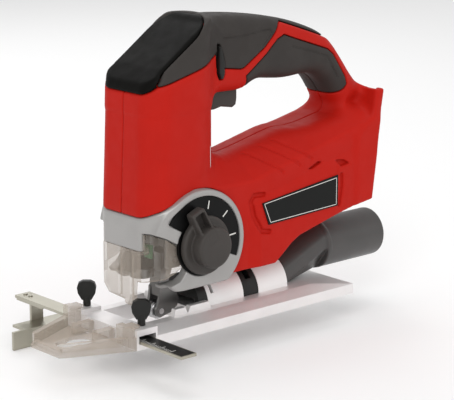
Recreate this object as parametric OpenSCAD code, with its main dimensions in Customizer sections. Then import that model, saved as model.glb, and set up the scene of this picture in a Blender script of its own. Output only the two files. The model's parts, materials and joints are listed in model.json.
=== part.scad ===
// Cordless jigsaw with a D-shaped handle, without its battery.
// Frame: -X is the blade end, +X the battery end, +Z up. The origin is the middle
// of the sole's underside. The shown side, with the orbital knob, is -Y.

/* [Sole plate] */
// Length of the sole plate
sole_len = 196; // [190:1:200]
// Width of the sole plate
sole_w = 74; // [72:1:76]
// Height of the sole's top face above its underside
sole_h = 11; // [11:0.5:11.5]
// Height of the sole's outer edge
edge_h = 7; // [6:0.5:8]
// Width of the sloping margin along each side
bevel_w = 10; // [8:0.5:12]
// Length of the sloping margin at the rear
rear_bevel = 32; // [24:1:34]
// Half width of the opening round the blade
slot_half = 20; // [19.5:0.1:20.5]
// Radius of the half drum that the sole tilts on
drum_r = 20; // [19.5:0.1:20]

/* [Housing] */
// Half width of the front column
column_half = 32; // [31:0.5:33]
// Half width of the brow's sloping top
brow_half = 25; // [24:0.5:26]
// Half width of the lower body
body_half = 34; // [33:0.5:35]
// Half width of the handle over its grips
handle_half = 19.5; // [19:0.5:20]
// Wall of the plastic shells
wall = 2.6; // [2:0.2:3]
// Thickness of the soft grip over the shell
grip_t = 3; // [2.5:0.5:3]

/* [Drive] */
// Stroke of the blade
stroke = 26; // [20:1:26]
// Teeth of the drive gear
gear_teeth = 54; // [54:6:54]
// Teeth of the motor pinion
pinion_teeth = 12; // [12:1:12]
// Tooth module of the gear pair
gear_module = 0.9; // [0.9:0.1:0.9]
// Radius of the plunger rod
plunger_r = 4.75; // [4:0.25:5]
// Outer radius of the motor can
motor_r = 23; // [21:1:23]

/* [Orbital knob] */
// Radius of the knob's rim
knob_r = 19.7; // [18:0.1:20]
// Radius of the raised round face of the knob
face_r = 13.7; // [12:0.1:15]
// Outer radius of the bezel
bezel_r = 36.5; // [36:0.5:37]

/* [Dust spout] */
// Outer radius of the hose spigot
spout_r = 17.5; // [17:0.1:18]
// Inner radius of the hose spigot
spout_bore = 15.2; // [14:0.1:15.5]

/* [Parallel guide] */
// Width of the guide bar
bar_w = 12.6; // [12:0.2:13]
// Thickness of the guide bar
bar_t = 2; // [1.5:0.1:2]
// Length of the guide bar
bar_len = 180; // [160:5:180]

/* [Hidden] */
$fn = 48;

// Colours
red = [0.76, 0.18, 0.15];
dark = [0.20, 0.19, 0.18];
black = [0.08, 0.08, 0.08];
silver = [0.69, 0.68, 0.66];
steel = [0.62, 0.62, 0.62];
bright = [0.80, 0.80, 0.80];
white = [0.93, 0.93, 0.92];
clear = [0.90, 0.88, 0.85, 0.4];
copper = [0.75, 0.45, 0.25];
green = [0.15, 0.40, 0.22];
bronze = [0.60, 0.46, 0.25];

// Driving places
tilt_z = sole_h;                    // height of the tilt axis
plunger_x = -64;                    // plunger axis
gear_z = 112.5;                     // drive gear axis
centre_distance = gear_module * (gear_teeth + pinion_teeth) / 2;
motor_z = gear_z - centre_distance; // motor axis
knob_x = -41;
knob_z = 60.5;
roller_x = -52.8;
roller_z = 10.5;
arm_pivot = [-47, 47];
plunger_top = 153.5;                // top end of the plunger, inside its upper bush when it is down
bridge_z = 142;                     // underside of the carrier's arm over the drive gear
bush_z = [78, 135];                 // lower ends of the plunger's two bushes
front_x = -80.8;                    // front of the column above the guard
block_x = [-98, -81.2];             // front blocks of the sole
bar_x = -89.4;                      // middle of the guide bar
screw_x = -88;
screw_y = 29;
spout_z = 29.8;
fence_y = 73;
rail_slope = 13.1 / 76;             // lean of the battery rails from the vertical
brow_slope = 35;                    // rise of the brow's top, in degrees
gap = 0.3;                          // running gap between moving pieces

// ---------- helpers ----------
module along_x(x0, x1) { translate([x0, 0, 0]) rotate([90, 0, 90]) linear_extrude(x1 - x0) children(); }
module along_y(y0, y1) { translate([0, y1, 0]) rotate([90, 0, 0]) linear_extrude(y1 - y0) children(); }
module along_z(z0, z1) { translate([0, 0, z0]) linear_extrude(z1 - z0) children(); }
module rod_x(x0, x1, r, y = 0, z = 0) {
    translate([x0, y, z]) rotate([0, 90, 0]) cylinder(h = x1 - x0, r = r);
}
module rod_y(y0, y1, r, x = 0, z = 0) {
    translate([x, y0, z]) rotate([-90, 0, 0]) cylinder(h = y1 - y0, r = r);
}
module rod_z(z0, z1, r, x = 0, y = 0) { translate([x, y, z0]) cylinder(h = z1 - z0, r = r); }
module block(a, b) { translate(a) cube(b - a); }
module tube_x(x0, x1, ro, ri, y = 0, z = 0) {
    difference() { rod_x(x0, x1, ro, y, z); rod_x(x0 - 1, x1 + 1, ri, y, z); }
}
module both_sides() { children(); mirror([0, 1, 0]) children(); }

// Points of a band between an upper and a lower row of points, drawn in by inset.
function unit2(v) = v / norm(v);
function band(upper, lower, inset = 0) = concat(
    [for (k = [0 : len(upper) - 1]) upper[k] + inset * unit2(lower[k] - upper[k])],
    [for (k = [len(lower) - 1 : -1 : 0]) lower[k] + inset * unit2(upper[k] - lower[k])]);
function arc(c, r, a0, a1, n) = [for (k = [0 : n]) let (a = a0 + (a1 - a0) * k / n) c + r * [cos(a), sin(a)]];

// ---------- outlines of the housing ----------
handle_top = [[-20, 208], [0, 205.3], [28, 202.3], [55, 197.5], [79, 189.5], [91, 184.2], [98.5, 178.2],
    [108.4, 166], [117.2, 154.6], [125, 146], [131, 138]];
handle_bottom = [[-20, 153], [4, 153], [22, 154.5], [50, 156.5], [70, 157], [80, 156.5], [86, 154],
    [91, 148.5], [98, 140], [104, 133], [106, 124]];
// Plan of the column: front half width, front, corner and rear points of one side
function column_plan(i) = let (h = column_half - i, f = front_x + i) [
    [f, -19 + i / 2], [-70 + i / 2, -h], [-36, -h], [-24, -28 + i], [-17 - i, -18 + i / 2], [-15 - i, -8],
    [-15 - i, 8], [-17 - i, 18 - i / 2], [-24, 28 - i], [-36, h], [-70 + i / 2, h], [f, 19 - i / 2]];
function column_side(i) = [[-60, 32 + i], [-82, 32 + i], [-82, 84], [-77.5 + i, 160.5], [-77.5 + i, 166],
    [-70, 166], [-45, 173.3], [-17, 179.6], [-12 - i, 180], [-12 - i, 32 + i]];
// Side outline of the brow over the column: a thin front band, then a flat top that rises rearwards
function brow_side(i) = [[-79.3 + i, 160.5], [-78.4 + i, 167.4 - i / 2], [-22, 206.9 - 1.2 * i],
    [-16, 207.5 - i], [-16, 150], [-77.5 + i, 150]];
function lower_side(i) = [[-40, 112 - i], [-6, 112 - i], [12, 112.5 - i], [40, 119 - i], [52, 121.5 - i],
    [68, 120.5 - i], [97, 126 - i], [106, 131 - i], [126 - i, 131 - i], [118 - i, 66 + i], [91, 60.5 + i],
    [76, 56.5 + i], [48, 47.5 + i], [31.5, 35 + i], [-21, 32 + i], [-40, 32 + i]];
function lower_front(i) = [[-22, 32 + i], [-25, 35 + i], [-body_half + i, 35 + i], [-body_half + i, 104],
    [-26 + i, 116], [-14 + i, 131], [14 - i, 131], [26 - i, 116], [body_half - i, 104],
    [body_half - i, 35 + i], [25, 35 + i], [22, 32 + i]];
function foot_side(i) = [[100, 66 + i], [100, 112], [119 + i, 124], [122.5 + i, 143 - i],
    [131.3 - i, 143 - i], [118 - i, 66 + i]];

module column_solid(i) {
    intersection() {
        along_y(-40, 40) polygon(column_side(i));
        along_z(20, 200) polygon(column_plan(i));
        along_x(-90, 0) polygon([[-22, 32], [-33, 38.5], [-33, 200], [33, 200], [33, 38.5], [22, 32]]);
    }
}
module brow_solid(i) {
    top = brow_half - i;
    low = column_half - i;
    intersection() {
        along_y(-40, 40) polygon(brow_side(i));
        along_z(140, 220) polygon(column_plan(i));
        // The sides close in towards the sloping top
        translate([-78.4, 0, 167.4]) rotate([0, -brow_slope, 0]) along_x(-40, 110)
            polygon([[-top, 10], [-top, 0], [-low, -15.5], [-low, -80], [low, -80], [low, -15.5],
                [top, 0], [top, 10]]);
    }
}
module handle_solid(i) {
    along_y(-handle_half + i, handle_half - i) polygon(band(handle_top, handle_bottom, 6 + i));
    along_y(-14 + i, 14 - i) polygon(band(handle_top, handle_bottom, i));
}
module lower_solid(i) {
    intersection() {
        along_y(-40, 40) polygon(lower_side(i));
        along_x(-60, 150) polygon(lower_front(i));
    }
    along_y(-body_half + i, body_half - i) polygon(foot_side(i));
}
// Side outline of the cast cover over the gear and the plunger, grown by g
function cover_outline(g) = concat(
    [[-84, 59 - g], [-84, 80 + g], [-80, 80.5 + g], [-69, 87 + g], [-57, 91 + g]],
    arc([knob_x, knob_z], bezel_r + g, 100, -48, 14),
    [[-21, 32 - g], [-21, 20], [-58, 20], [-66 - g, 36 - g]]);
// Side outline of the window in the cover that the guard fills
window = [[-90, 30], [-90, 71], [-76, 70.5], [-68.5, 67.6], [-57.7, 61], [-55.3, 57], [-56, 46.2], [-62, 38]];

// Places of the housing screws
screws = [[-30, 160], [-22, 192], [52, 178], [103, 161], [103, 76], [100, 118], [36, 46]];

// Side outline where the nose cap meets the grips
cap_edge = [[-90, 160.5], [-70, 166.5], [-65, 174.5], [-45, 188.6], [-32, 197.7], [-26, 201.9],
    [-21, 206], [-20, 214]];
module grip_zone() {
    along_y(-60, 60) polygon(concat([for (k = [1 : len(cap_edge) - 1]) cap_edge[k]], [[100, 214],
        [104, 177], [47, 192.6], [30, 181], [7, 168.8], [-14.5, 170], [-17, 179.6], [-45, 173.3]]));
    along_y(-60, 60) polygon([[50, 187], [91, 175.5], [108, 151], [107, 142], [94, 139], [88, 140], [80, 150],
        [22, 150], [13, 163]]);
}
module cap_zone() {
    along_y(-60, 60) polygon(concat(cap_edge, [[-90, 214]]));
    // Under its sloping top the cap takes the whole thickness of the grip
    along_y(-22, 22) polygon([[-70, 163], [-45, 184], [-27, 196.6], [-27, 214], [-70, 214]]);
}
module button_slots() {
    block([-14, -9, 140], [15.5, 9, 165]);
    block([-14, -30, 163.6], [-7.8, 30, 186.4]);
}
// A point on the floor of the battery recess at height z, moved rearwards by out
function rail(z, out = 0) = [114.4 + (z - 74) * rail_slope + out, z];
module rail_slab(half, z0, z1, from, to) {
    along_y(-half, half) polygon([rail(z0, from), rail(z0, to), rail(z1, to), rail(z1, from)]);
}
module battery_slot() {
    // Recess for the battery's rails, open at the rear and the top, and the hole for its terminals
    rail_slab(26, 74, 150, 0, 20);
    rail_slab(29, 74, 150, 0, 2.5);
    rail_slab(10, 88, 99, -4, 1);
}
module shell_body() {
    difference() {
        union() {
            column_solid(0);
            handle_solid(grip_t);
            lower_solid(0);
            brow_solid(grip_t);
            difference() {
                handle_solid(0);
                grip_zone();
                cap_zone();
            }
        }
        difference() {
            union() {
                column_solid(wall);
                brow_solid(grip_t + wall);
                handle_solid(grip_t + wall);
                lower_solid(wall);
            }
            for (s = screws) rod_y(-60, 60, 4.2, s[0], s[1]);
            rail_slab(60, 60, 150, -3, 30);
        }
        along_y(-60, 60) polygon(cover_outline(0));
        rod_y(-60, 60, bezel_r, knob_x, knob_z);
        block([-90, -40, 20], [-14, 40, 59]);
        button_slots();
        battery_slot();
        block([-19.6, -12.05, 20], [44.1, 12.05, 41]);
        for (s = screws) rod_y(-12, 60, 1.75, s[0], s[1]);
        for (s = screws) rod_y(column_half - 26, 60, 3.7, s[0], s[1]);
    }
}
module housing_left() { color(red) intersection() { shell_body(); block([-100, -60, 0], [160, 0, 230]); } }
module housing_right() { color(red) intersection() { shell_body(); block([-100, 0, 0], [160, 60, 230]); } }

module grips() {
    difference() {
        intersection() {
            union() { brow_solid(0); handle_solid(0); }
            grip_zone();
        }
        brow_solid(grip_t); handle_solid(grip_t); cap_zone(); column_solid(0); lower_solid(0);
        button_slots();
        for (s = screws) rod_y(0, 60, 3.7, s[0], s[1]);
    }
}
module grip_left() { color(dark) intersection() { grips(); block([-100, -60, 0], [160, 0, 230]); } }
module grip_right() { color(dark) intersection() { grips(); block([-100, 0, 0], [160, 60, 230]); } }
module nose_cap() {
    color(black) difference() {
        intersection() { union() { brow_solid(0); handle_solid(0); } cap_zone(); }
        brow_solid(grip_t); handle_solid(grip_t); column_solid(0);
        for (s = screws) rod_y(0, 60, 3.7, s[0], s[1]);
    }
}
module housing_screws() {
    color(steel) for (s = screws) {
        rod_y(-10, 6, 1.7, s[0], s[1]);
        difference() { rod_y(6, 8.6, 3.4, s[0], s[1]); rod_y(7.2, 9, 1.6, s[0], s[1]); }
    }
}

// ---------- cast gear cover ----------
module cover_shape(i) {
    intersection() {
        along_y(-40, 40) polygon([for (p = cover_outline(0)) [max(p[0], -82), max(p[1], 32 + i)]]);
        along_z(20, 120) polygon([[front_x + i, -19 + i / 2], [-70 + i / 2, -column_half + i],
            [0, -column_half + i], [0, column_half - i], [-70 + i / 2, column_half - i],
            [front_x + i, 19 - i / 2]]);
        along_x(-90, 0) polygon([[-22 + i, 32 + i], [-33 + i, 38.5], [-33 + i, 130], [33 - i, 130],
            [33 - i, 38.5], [22 - i, 32 + i]]);
    }
}
// Room that the sole's edges sweep through as it tilts 45 degrees each way
module sole_sweep() {
    both_sides() along_x(-90, 10) polygon([[-10, 0], [-10, 20], [-19, 30.7], [-29, 35], [-34.3, 29.6],
        [-35.3, 27.3], [-36.3, 24.9], [-39, 16], [-39, 0]]);
}
module bezel_disc(y0, y1) {
    intersection() {
        rod_y(y0, y1, bezel_r - 0.1, knob_x, knob_z);
        block([-70, -40, 20], [0, 40, 110]);
    }
}
module dial_recess() {
    rod_y(-40, -33.2, 20.9, knob_x, knob_z);
    intersection() {
        rod_y(-40, -33.2, 32.2, knob_x, knob_z);
        along_y(-42, -30) polygon(concat([[knob_x, knob_z]], arc([knob_x, knob_z], 60, -24, 148, 6)));
    }
}
module gear_cover() {
    color(silver) difference() {
        union() {
            cover_shape(0);
            bezel_disc(-36, -28);
            bezel_disc(28, 34);
        }
        cover_shape(wall);
        sole_sweep();
        difference() {
            along_y(-60, 60) polygon(window);
            block([-90, -17.8, 59], [-70, 17.8, 75]);
        }
        block([-76, -16, 20], [-30, 16, 50]);
        block([-30, -12.4, 30], [-11, 12.4, 50]);
        dial_recess();
        rod_y(-50, -20, 4.6, knob_x, knob_z);
    }
}
module dial_sector(r, a0, a1) {
    intersection() {
        rod_y(-35.2, -33.3, r, knob_x, knob_z);
        along_y(-42, -30) polygon(concat([[knob_x, knob_z]], arc([knob_x, knob_z], 60, a0, a1, 6)));
    }
}
module dial_plate() {
    color(black) difference() {
        union() { dial_sector(32, -23.7, 147.7); rod_y(-35.2, -33.3, 20.7, knob_x, knob_z); }
        rod_y(-40, -30, 4.6, knob_x, knob_z);
    }
}
label_outline = [[12.5, 79], [84, 88], [84, 66], [18.5, 63.2]];
module label_left() { color(black) along_y(-body_half - 0.8, -body_half) polygon(label_outline); }
module label_right() { color(black) along_y(body_half, body_half + 0.8) polygon(label_outline); }

module led_lens() {
    color(clear) { rod_x(-75, -72, 2.5, -15.5, 57.5); translate([-75, -15.5, 57.5]) sphere(r = 2.5); }
}
module led_board() { color(green) block([-71.98, -20, 53], [-70.62, -12.5, 62]); }

// ---------- drive ----------
module gear_carrier() {
    color(silver) difference() {
        union() {
            along_x(-31, -25) polygon([[-23, 69], [23, 69], [25, 84], [25, 122], [16, 139], [16, 152],
                [-16, 152], [-16, 139], [-25, 122], [-25, 84]]);
            rod_z(bush_z[0], bush_z[0] + 8, 9, plunger_x);
            rod_z(bush_z[1], bridge_z + 8, 9, plunger_x);
            block([-58, -6, bridge_z], [-25, 6, bridge_z + 8]);
            both_sides() {
                block([-63, 8, bush_z[0]], [-25, 12, bush_z[0] + 8]);
                block([arm_pivot[0] - 5, 9, 41], [arm_pivot[0] + 5, 13, 70]);
                block([arm_pivot[0] + 4, 9, 60], [-25, 13, 70]);
            }
            // Holder of the lamp's board
            block([-70.6, -17, 56], [-67.6, -13, bush_z[0] + 8]);
            block([-70, -17, bush_z[0]], [-62, -7, bush_z[0] + 8]);
        }
        rod_z(bush_z[0] - 1, bush_z[0] + 9, 6.6, plunger_x);
        rod_z(bush_z[1] - 1, bridge_z + 9, 6.6, plunger_x);
        rod_x(-32, -24, 8.0, 0, motor_z);
        rod_x(-32, -24, 5.0, 0, gear_z);
        rod_y(-20, 20, 2.5, arm_pivot[0], arm_pivot[1]);
    }
}
module gear_pin() { color(bright) rod_x(-51, -24, 4.98, 0, gear_z); }
module plunger_bushes() {
    color(bronze) for (z = bush_z) difference() {
        rod_z(z, z + 8, 6.58, plunger_x);
        rod_z(z - 1, z + 9, plunger_r + 0.05, plunger_x);
    }
}
module ball_bearing(x0, x1) {
    tube_x(x0, x1, 7.98, 6.2, 0, motor_z);
    tube_x(x0, x1, 4.6, 3.05, 0, motor_z);
    tube_x(x0 + 0.6, x1 - 0.6, 6.21, 4.59, 0, motor_z);
}
module front_bearing() { color(bright) ball_bearing(-31, -25); }
module rear_bearing() { color(bright) ball_bearing(70.2, 76.2); }
module motor_can() {
    color(steel) difference() {
        rod_x(-4, 62, motor_r, 0, motor_z);
        rod_x(-1.6, 63, motor_r - 2, 0, motor_z);
        rod_x(-5, 0, 9, 0, motor_z);
        for (a = [45 : 90 : 315])
            translate([-5, 0, motor_z]) rotate([a, 0, 0]) translate([0, -3, 12]) cube([4.5, 6, 6]);
    }
}
module magnets() {
    color(dark) for (s = [0, 180]) translate([0, 0, motor_z]) rotate([s, 0, 0]) intersection() {
        tube_x(2, 46, motor_r - 2.02, 17.6);
        along_x(0, 48) polygon([[0, 0], [30, 24], [30, 30], [-30, 30], [-30, 24]]);
    }
}
module end_bell() {
    color(dark) difference() {
        union() {
            rod_x(62, 68, motor_r, 0, motor_z);
            rod_x(62, 76.2, 10.6, 0, motor_z);
        }
        rod_x(61, 65.6, motor_r - 3, 0, motor_z);
        rod_x(61, 70.2, 7, 0, motor_z);
        rod_x(70, 78, 8.0, 0, motor_z);
    }
}
module brushes() {
    color(dark) translate([0, 0, motor_z]) both_sides() block([53, 9.4, -2.5], [60, 20.8, 2.5]);
}
module armature_shaft() { color(bright) rod_x(-50.5, 78.5, 3, 0, motor_z); }
module armature_core() {
    color(copper) translate([0, 0, motor_z]) difference() {
        union() { rod_x(6, 42, 16.8); rod_x(0.5, 49, 12.5); }
        rod_x(-1, 50, 3);
        for (a = [0 : 30 : 330]) rotate([a, 0, 0]) block([5, -0.9, 13], [43, 0.9, 18]);
    }
}
module commutator() {
    color(copper) translate([0, 0, motor_z]) difference() {
        rod_x(49.3, 61.5, 9.1);
        rod_x(49, 62, 3);
        for (a = [0 : 30 : 330]) rotate([a, 0, 0]) block([49, -0.3, 8.3], [62, 0.3, 10]);
    }
}
module cooling_fan() {
    color(white) translate([0, 0, motor_z]) {
        difference() {
            union() {
                rod_x(-20, -18.4, 20);
                rod_x(-20, -9, 6);
            }
            rod_x(-21, -8, 3);
        }
        for (a = [0 : 36 : 324]) rotate([a, 0, 0]) block([-19.2, -0.6, 5], [-10, 0.6, 19]);
    }
}
// Involute gear outline: m module, z teeth, pressure angle 25 degrees, thinned for backlash
pressure = 25;
function inv(a) = tan(a) * 180 / PI - a;
function involute_angle(r, rb) = r <= rb ? 0 : inv(acos(rb / r));
function tooth_half(r, m, z, thin) = let (rp = m * z / 2, rb = rp * cos(pressure))
    90 / z - thin / rp * 180 / PI / 2 + inv(pressure) - involute_angle(r, rb);
// One flank of a tooth at angle a, on the side s, from the root radius rr to the tip radius ra
function flank(m, z, thin, a, s, rr, ra, n) = [
    for (k = [0 : n]) let (r = rr * 1.01 + (ra - rr * 1.01) * k / n) [r, a + s * tooth_half(r, m, z, thin)]];
function reversed(list) = [for (k = [len(list) - 1 : -1 : 0]) list[k]];
function gear_points(m, z, thin) = let (rp = m * z / 2, ra = rp + 0.9 * m, rr = rp - 1.2 * m, n = 4) [
    for (t = [0 : z - 1]) let (a = t * 360 / z) each concat(
        [[rr, a - 90 / z * 1.25]],
        flank(m, z, thin, a, -1, rr, ra, n),
        reversed(flank(m, z, thin, a, 1, rr, ra, n)),
        [[rr, a + 90 / z * 1.25]])];
module gear_2d(m, z, thin, turn) {
    polygon([for (p = gear_points(m, z, thin)) p[0] * [cos(p[1] + turn), sin(p[1] + turn)]]);
}
module drive_gear() {
    color(steel) translate([0, 0, gear_z]) difference() {
        union() {
            along_x(-49, -41) gear_2d(gear_module, gear_teeth, 0.14, 90 + 180 / gear_teeth);
            rod_x(-49, -36.2, 11);
        }
        rod_x(-50, -30, 8.0);
        rod_x(-50, -40, 4.0, 0, stroke / 2);
        for (a = [60 : 60 : 300]) rotate([a, 0, 0]) rod_x(-50, -40, 4, 0, 17);
    }
}
module gear_bearing() { color(bronze) tube_x(-49, -36.2, 7.98, 5.03, 0, gear_z); }
module eccentric_pin() {
    color(bright) translate([0, 0, gear_z]) { rod_x(-51.5, -41.2, 3.98, 0, stroke / 2); }
}
module counterweight() {
    color(steel) translate([0, 0, gear_z]) difference() {
        intersection() {
            rod_x(-40.7, -36.4, 23);
            block([-41, -30, -30], [-36, 30, -4]);
        }
        rod_x(-42, -30, 11.02);
    }
}
module pinion() {
    color(bright) translate([0, 0, motor_z]) difference() {
        along_x(-49.5, -40.5) gear_2d(gear_module, pinion_teeth, 0.14, 90);
        rod_x(-50, -40, 3);
    }
}
module plunger() {
    color(bright) difference() {
        rod_z(52, plunger_top, plunger_r, plunger_x);
        rod_z(118, plunger_top + 1, 2.6, plunger_x);
    }
}
module yoke() {
    color(steel) {
        difference() {
            block([-57, -20.5, gear_z - 8.5], [-52, 20.5, gear_z + 8.5]);
            block([-58, -17.3, gear_z - 4.2], [-51, 17.3, gear_z + 4.2]);
        }
        difference() {
            block([-70.5, -7, gear_z - 8.5], [-57, 7, gear_z + 8.5]);
            rod_z(gear_z - 10, gear_z + 10, plunger_r + 0.01, plunger_x);
        }
    }
}
module blade_clamp() {
    color(dark) difference() {
        union() {
            rod_z(36, 52, 6.5, plunger_x);
            rod_z(36, 42, 8, plunger_x);
            rod_z(51.9, 62, 7.4, plunger_x);
        }
        rod_z(51.99, 63, plunger_r + 0.01, plunger_x);
        block([plunger_x - 4.2, -0.9, 35], [plunger_x + 4.2, 0.9, 49]);
    }
}
module clamp_lever() {
    color(black) {
        difference() { rod_z(42.3, 51.4, 8.2, plunger_x); rod_z(41, 53, 6.56, plunger_x); }
        block([plunger_x - 11, -4, 40.5], [plunger_x - 8.05, 4, 54]);
        block([plunger_x - 9, -2.6, 43], [plunger_x - 7.2, 2.6, 51]);
    }
}

// ---------- orbital action ----------
module arm_profile() {
    polygon([[-53, 20], [-53.3, 30], [-51.5, 37], [-51.5, 50], [-48, 52.5], [-44, 51.5],
        [-42.5, 48], [-42.5, 37], [-46, 28], [-46, 20]]);
}
module cheek_profile() {
    polygon(concat(arc([roller_x, roller_z], 4.4, 130, 300, 6), [[-44, 8], [-38.5, 12],
        [-37.5, 17], [-40, 24], [-44.5, 28.5], [-50, 29], [-53.6, 26], [-54, 19]]));
}
module roller_arm() {
    color(dark) difference() {
        union() {
            along_y(-5, 5) arm_profile();
            both_sides() along_y(4, 6) cheek_profile();
        }
        rod_y(-10, 10, 2.55, arm_pivot[0], arm_pivot[1]);
        rod_y(-10, 10, 1.98, roller_x, roller_z);
        block([-60, -3.95, 2], [-46.2, 3.95, 20.2]);
    }
}
module roller_pivot_pin() { color(bright) rod_y(-14, 14, 2.5, arm_pivot[0], arm_pivot[1]); }
module roller_axle() { color(bright) rod_y(-6.8, 6.8, 1.97, roller_x, roller_z); }
module guide_roller() {
    color(steel) difference() {
        rod_y(-3.6, 3.6, 6, roller_x, roller_z);
        rod_y(-4, 4, 2.05, roller_x, roller_z);
        difference() { rod_y(-1, 1, 7, roller_x, roller_z); rod_y(-2, 2, 5.2, roller_x, roller_z); }
    }
}
module orbital_knob() {
    color(dark) {
        rod_y(-40.4, -35.5, knob_r, knob_x, knob_z);
        rod_y(-49.5, -39.5, face_r, knob_x, knob_z);
        rod_y(-36, -14, 4.5, knob_x, knob_z);
        translate([knob_x, 0, knob_z]) rotate([0, -113, 0]) difference() {
            block([12, -41.2, -5], [27.5, -37, 5]);
            block([14.6, -45, -3.4], [26, -39, 3.4]);
        }
    }
}

// ---------- controls ----------
module trigger() {
    color(dark) {
        difference() {
            block([-13.2, -8, 140.5], [13.8, 8, 157]);
            rod_y(-10, 10, 22, 0, 121.5);
        }
        block([-6, -4, 156.9], [8, 4, 161]);
    }
}
module switch_body() { color(black) block([-6.6, -9, 167.6], [26, 9, 186]); }
module lock_button() { color(black) block([-13.6, -21, 164], [-8.2, 21, 186]); }
module control_board() {
    color(green) {
        block([84.5, -22, 68], [86.3, 22, 106]);
        for (y = [-12, 0, 12]) rod_x(86.3, 98, 4.5, y, 98);
        block([86.3, -16, 74], [92, 16, 88]);
    }
}
// The wires run through the handle and its rear leg down to the board
wire_path = [[26.5, 172], [52, 169], [84, 165], [103, 152], [113, 138], [112, 120], [100, 109], [87, 104.3]];
function beside(path, d) = [for (k = [0 : len(path) - 1])
    let (t = unit2(path[min(k + 1, len(path) - 1)] - path[max(k - 1, 0)])) path[k] + d * [-t[1], t[0]]];
module wiring() {
    color([0.6, 0.1, 0.1]) for (y = [-3, 0, 3])
        along_y(y - 1.1, y + 1.1) polygon(band(beside(wire_path, 1.1), beside(wire_path, -1.1)));
}
module terminal_block() {
    color(black) {
        rail_slab(13, 84, 103, 0.05, 3);
        rail_slab(9.7, 88.3, 98.7, -3.5, 0.5);
        rail_slab(20, 80, 107, -6.6, -3.1);
    }
}
module battery_contacts() {
    color(copper) for (y = [-9, -3, 3, 9]) translate([0, y, 0]) rail_slab(0.5, 87, 100, 3.02, 4.8);
}

// ---------- clear chip guard ----------
module guard_ring(a, b) {
    difference() { along_z(15, 80) polygon(column_plan(a)); along_z(10, 90) polygon(column_plan(b)); }
}
module chip_guard() {
    color(clear) {
        intersection() {
            block([front_x, -19.4, 15], [front_x + 2, 19.4, 58.7]);
            along_x(-90, -70) polygon([[-19.4, 38.5], [-14.5, 38.5], [-12.5, 21], [-3.5, 21], [-2.5, 24],
                [14, 25.2], [19.4, 30.8], [19.4, 58.7], [-19.4, 58.7]]);
        }
        intersection() {
            guard_ring(0, 2);
            along_y(-60, 60) polygon([[-90, 38.5], [-90, 58.7], [-78.6, 58.7], [-78.6, 70],
                [-76, 70.1], [-68.7, 67.1], [-58.1, 60.6], [-55.8, 57], [-56.4, 46.4], [-62, 43.5],
                [-71.5, 40.5], [-78, 38.5]]);
        }
        // Two stiffening ribs inside the front panel
        block([front_x + 1.9, 4.2, 25], [front_x + 4, 6.2, 58.7]);
        block([front_x + 1.9, -8, 21.5], [front_x + 4, -6, 58.7]);
    }
}

// ---------- tilting sole ----------
module tilt_saddle() {
    color(dark) difference() {
        block([-19.5, -12, 29], [44, 12, 40]);
        rod_x(-25, 50, drum_r + gap, 0, tilt_z);
        rod_z(20, 45, 2.1, 16);
        rod_z(33.95, 41, 4.02, 16);
    }
}
module clamp_screw() {
    color(steel) {
        difference() { rod_z(21.4, 25, 4.5, 16); rod_z(20, 23.5, 2, 16); }
        rod_z(24.9, 39, 2.09, 16);
        rod_z(34, 38.5, 4, 16);
    }
}
module sole_section() {
    h = sole_w / 2;
    polygon([[-h, 0], [h, 0], [h, edge_h], [h - bevel_w, sole_h], [-h + bevel_w, sole_h], [-h, edge_h]]);
}
module sole_plate() {
    rear = sole_len / 2;
    color(bright) difference() {
        union() {
            along_x(-rear, rear) sole_section();
            both_sides() block([block_x[0], 22.5, 1], [block_x[1], sole_w / 2, 13.5]);
            both_sides() along_y(slot_half, slot_half + 4)
                polygon([[-57, 8], [-55, 16], [-46.5, 16], [-44.5, 11.4], [-42, 16], [-26, 16], [-23, 8]]);
        }
        along_y(-50, 50) polygon([[rear - rear_bevel, sole_h], [rear + 1, edge_h - 0.1], [rear + 1, 20],
            [rear - rear_bevel, 20]]);
        block([block_x[1], -slot_half, -1], [-44, slot_half, 20]);
        block([-45, -12, -1], [-34, 12, 20]);
        both_sides() rod_z(-1, 20, 8, -42, 12);
        block([bar_x - 6.9, -60, 3.9], [bar_x + 6.9, 60, 9.4]);
        both_sides() rod_z(5, 20, 2.05, screw_x, screw_y);
        rod_z(-1, 20, 6, 16);
        // Lightening pockets in the underside, clear of the middle and the edges
        for (x = [-25, 30, 64]) both_sides() block([x, 14, -1], [x + 26, 27, 4]);
    }
}
module half_ring(x0, x1, ro, ri) {
    translate([0, 0, tilt_z]) intersection() {
        tube_x(x0, x1, ro, ri);
        block([x0 - 1, -30, 0.02], [x1 + 1, 30, 30]);
    }
}
module screw_slot(x0, x1) {
    // Curved slot that lets the drum swing past the clamp screw
    translate([0, 0, tilt_z]) intersection() {
        rod_x(x0, x1, 30);
        along_x(x0, x1) polygon([[0, 0], [-25, 17], [-25, 40], [25, 40], [25, 17]]);
    }
}
module bevel_drum() {
    color(white) {
        difference() {
            half_ring(-23, 9, drum_r, 17.5);
            for (s = [-1, 1])
                translate([0, 0, tilt_z]) rotate([s * 55, 0, 0]) block([-19.5, -4, 16], [-17, 4, 21]);
        }
        half_ring(23, 50, drum_r, 17.5);
    }
}
module drum_liner() {
    color(black) difference() {
        union() {
            half_ring(-31, 50, 17.45, 15);
            half_ring(-31, -23.05, drum_r, 15);
            half_ring(9.05, 22.95, drum_r - 0.4, 15);
            translate([-31, 0, tilt_z]) intersection() {
                rod_x(0, 2.5, 19);
                block([-1, -30, 5], [4, 30, 30]);
            }
        }
        screw_slot(13.6, 18.4);
    }
}

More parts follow.
